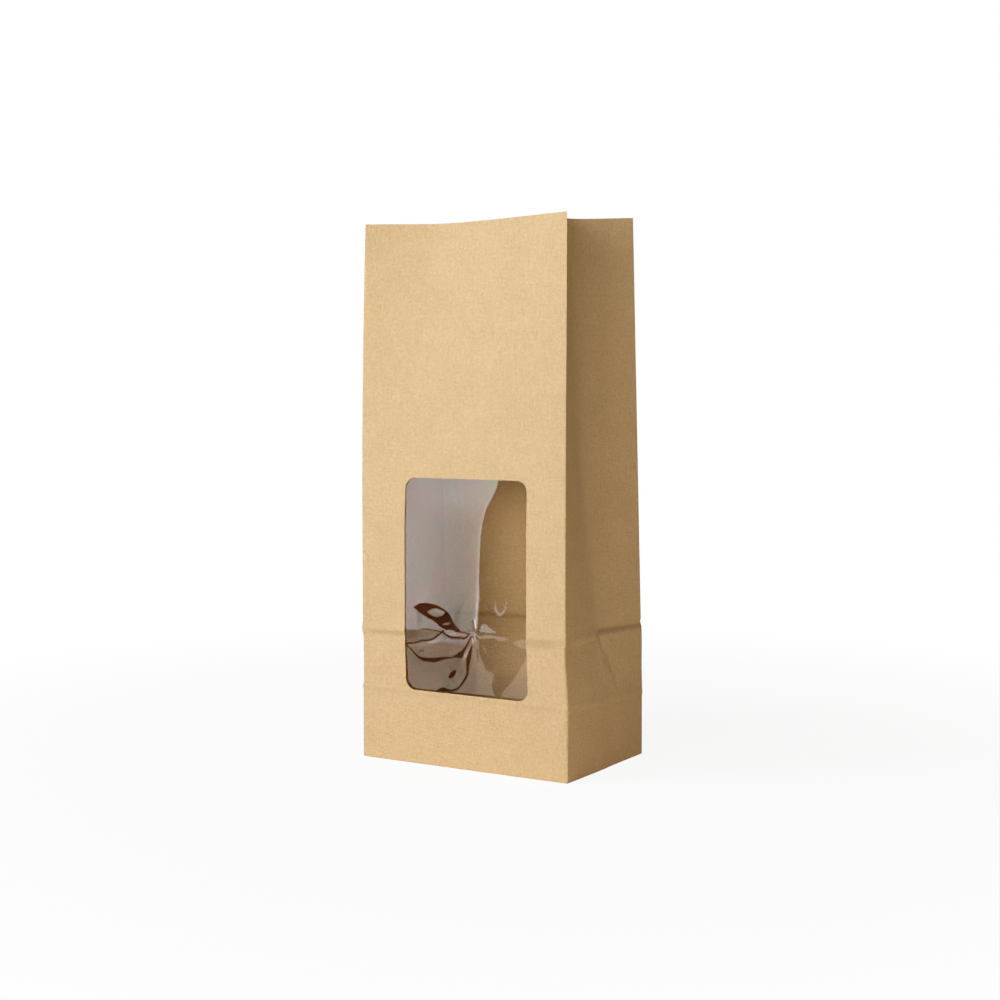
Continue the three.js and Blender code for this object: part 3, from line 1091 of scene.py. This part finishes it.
# White behind the bag, and a dim even light from all sides.
def buildWorld():
    world = bpy.data.worlds.new("studio")
    world.use_nodes = True
    bpy.context.scene.world = world
    tree = world.node_tree
    tree.nodes.clear()
    seen = addNode(tree, "ShaderNodeBackground", {"Color": studio["backdrop"]})
    ambient = addNode(tree, "ShaderNodeBackground", {"Color": studio["ambient"]})
    both = addNode(tree, "ShaderNodeMixShader", {
        "Fac": addNode(tree, "ShaderNodeLightPath").outputs["Is Camera Ray"],
        1: ambient.outputs["Background"],
        2: seen.outputs["Background"],
    })
    addNode(tree, "ShaderNodeOutputWorld", {"Surface": both.outputs["Shader"]})


# A direction from the bag: azimuth from its front towards its right, then up.
def directionFrom(azimuth, elevation):
    a, e = math.radians(azimuth), math.radians(elevation)
    return Vector((math.sin(a) * math.cos(e), -math.cos(a) * math.cos(e), math.sin(e)))


# Puts an item at a distance from a point, with its -Z side towards the point.
def faceFrom(item, point, azimuth, elevation, distance):
    away = directionFrom(azimuth, elevation)
    item.location = point + away * distance
    item.rotation_mode = "QUATERNION"
    item.rotation_quaternion = away.to_track_quat("Z", "Y")


def softLight(name, azimuth, elevation, distance, size, power, colour):
    data = bpy.data.lights.new(name, "AREA")
    data.shape = "SQUARE"
    data.size = size
    data.energy = power
    data.color = colour
    light = addObject(name, data)
    faceFrom(light, Vector(studio["aim"]), azimuth, elevation, distance)
    light.visible_glossy = False
    light.visible_camera = False


# what the film mirrors: a bright backdrop, brighter towards one side, over a dimmer warm ground
card = {
    "azimuth": -27.6,
    "elevation": -7.5,
    "distance": 3.0,
    "level": 90,                   # it stands round a point of the window at this height
    "width": 0.80,
    "height": 1.80,
    "sideDim": (0.02, 1.22),       # a place across it, and its glow there
    "sideBright": (-0.23, 3.1),
    "edge": (-0.40, -0.31),        # it fades out between these places across it
    "horizon": (-0.17, -0.09),     # the ground gives way to the backdrop between these heights
    "backdrop": (0.97, 1, 1, 1),
    "ground": (0.54, 0.47, 0.39, 1),
}


# A bright card that only the film's reflection shows.
def reflectedCard():
    board = squareBoard("reflectedCard", card["width"] / 2, card["height"] / 2)
    middle = Vector((0, -bag["depth"] / 2, card["level"])) * metre
    faceFrom(board, middle, card["azimuth"], card["elevation"], card["distance"])
    material, tree = newMaterial("cardGlow")
    place = addNode(tree, "ShaderNodeTexCoord").outputs["Object"]
    parts = addNode(tree, "ShaderNodeSeparateXYZ", {0: place})
    across, up = parts.outputs["X"], parts.outputs["Y"]
    (dimPlace, dim), (brightPlace, bright) = card["sideDim"], card["sideBright"]
    strength = addNode(tree, "ShaderNodeMapRange", {
        "Value": across,
        "From Min": brightPlace,
        "From Max": dimPlace,
        "To Min": bright,
        "To Max": dim,
    })
    fade = easedRange(tree, across, *card["edge"])
    horizon = easedRange(tree, up, *card["horizon"])
    glow = addNode(tree, "ShaderNodeEmission", {
        "Color": mixColours(tree, horizon, card["ground"], card["backdrop"]),
        "Strength": calculate(tree, "MULTIPLY", strength.outputs["Result"], fade),
    })
    addNode(tree, "ShaderNodeOutputMaterial", {"Surface": glow.outputs["Emission"]})
    board.data.materials.append(material)
    board.visible_camera = False
    board.visible_diffuse = False
    board.visible_shadow = False
    board.visible_transmission = False


# the photograph's viewpoint, found from the bag's corners, creases and window
view = {"lens": 60.35, "sensor": 36, "place": (0.44485, -0.73206, 0.18592), "tilt": 86.395, "turn": 31.406}


def buildCamera():
    data = bpy.data.cameras.new("camera")
    data.lens = view["lens"]
    data.sensor_width = view["sensor"]
    camera = addObject("camera", data)
    camera.location = view["place"]
    camera.rotation_euler = (math.radians(view["tilt"]), 0, math.radians(view["turn"]))
    bpy.context.scene.camera = camera


buildFloor()
buildWorld()
for name, values in lights.items():
    softLight(name, *values)
reflectedCard()
buildCamera()
bpy.context.scene.view_settings.view_transform = "Standard"
print("studio")
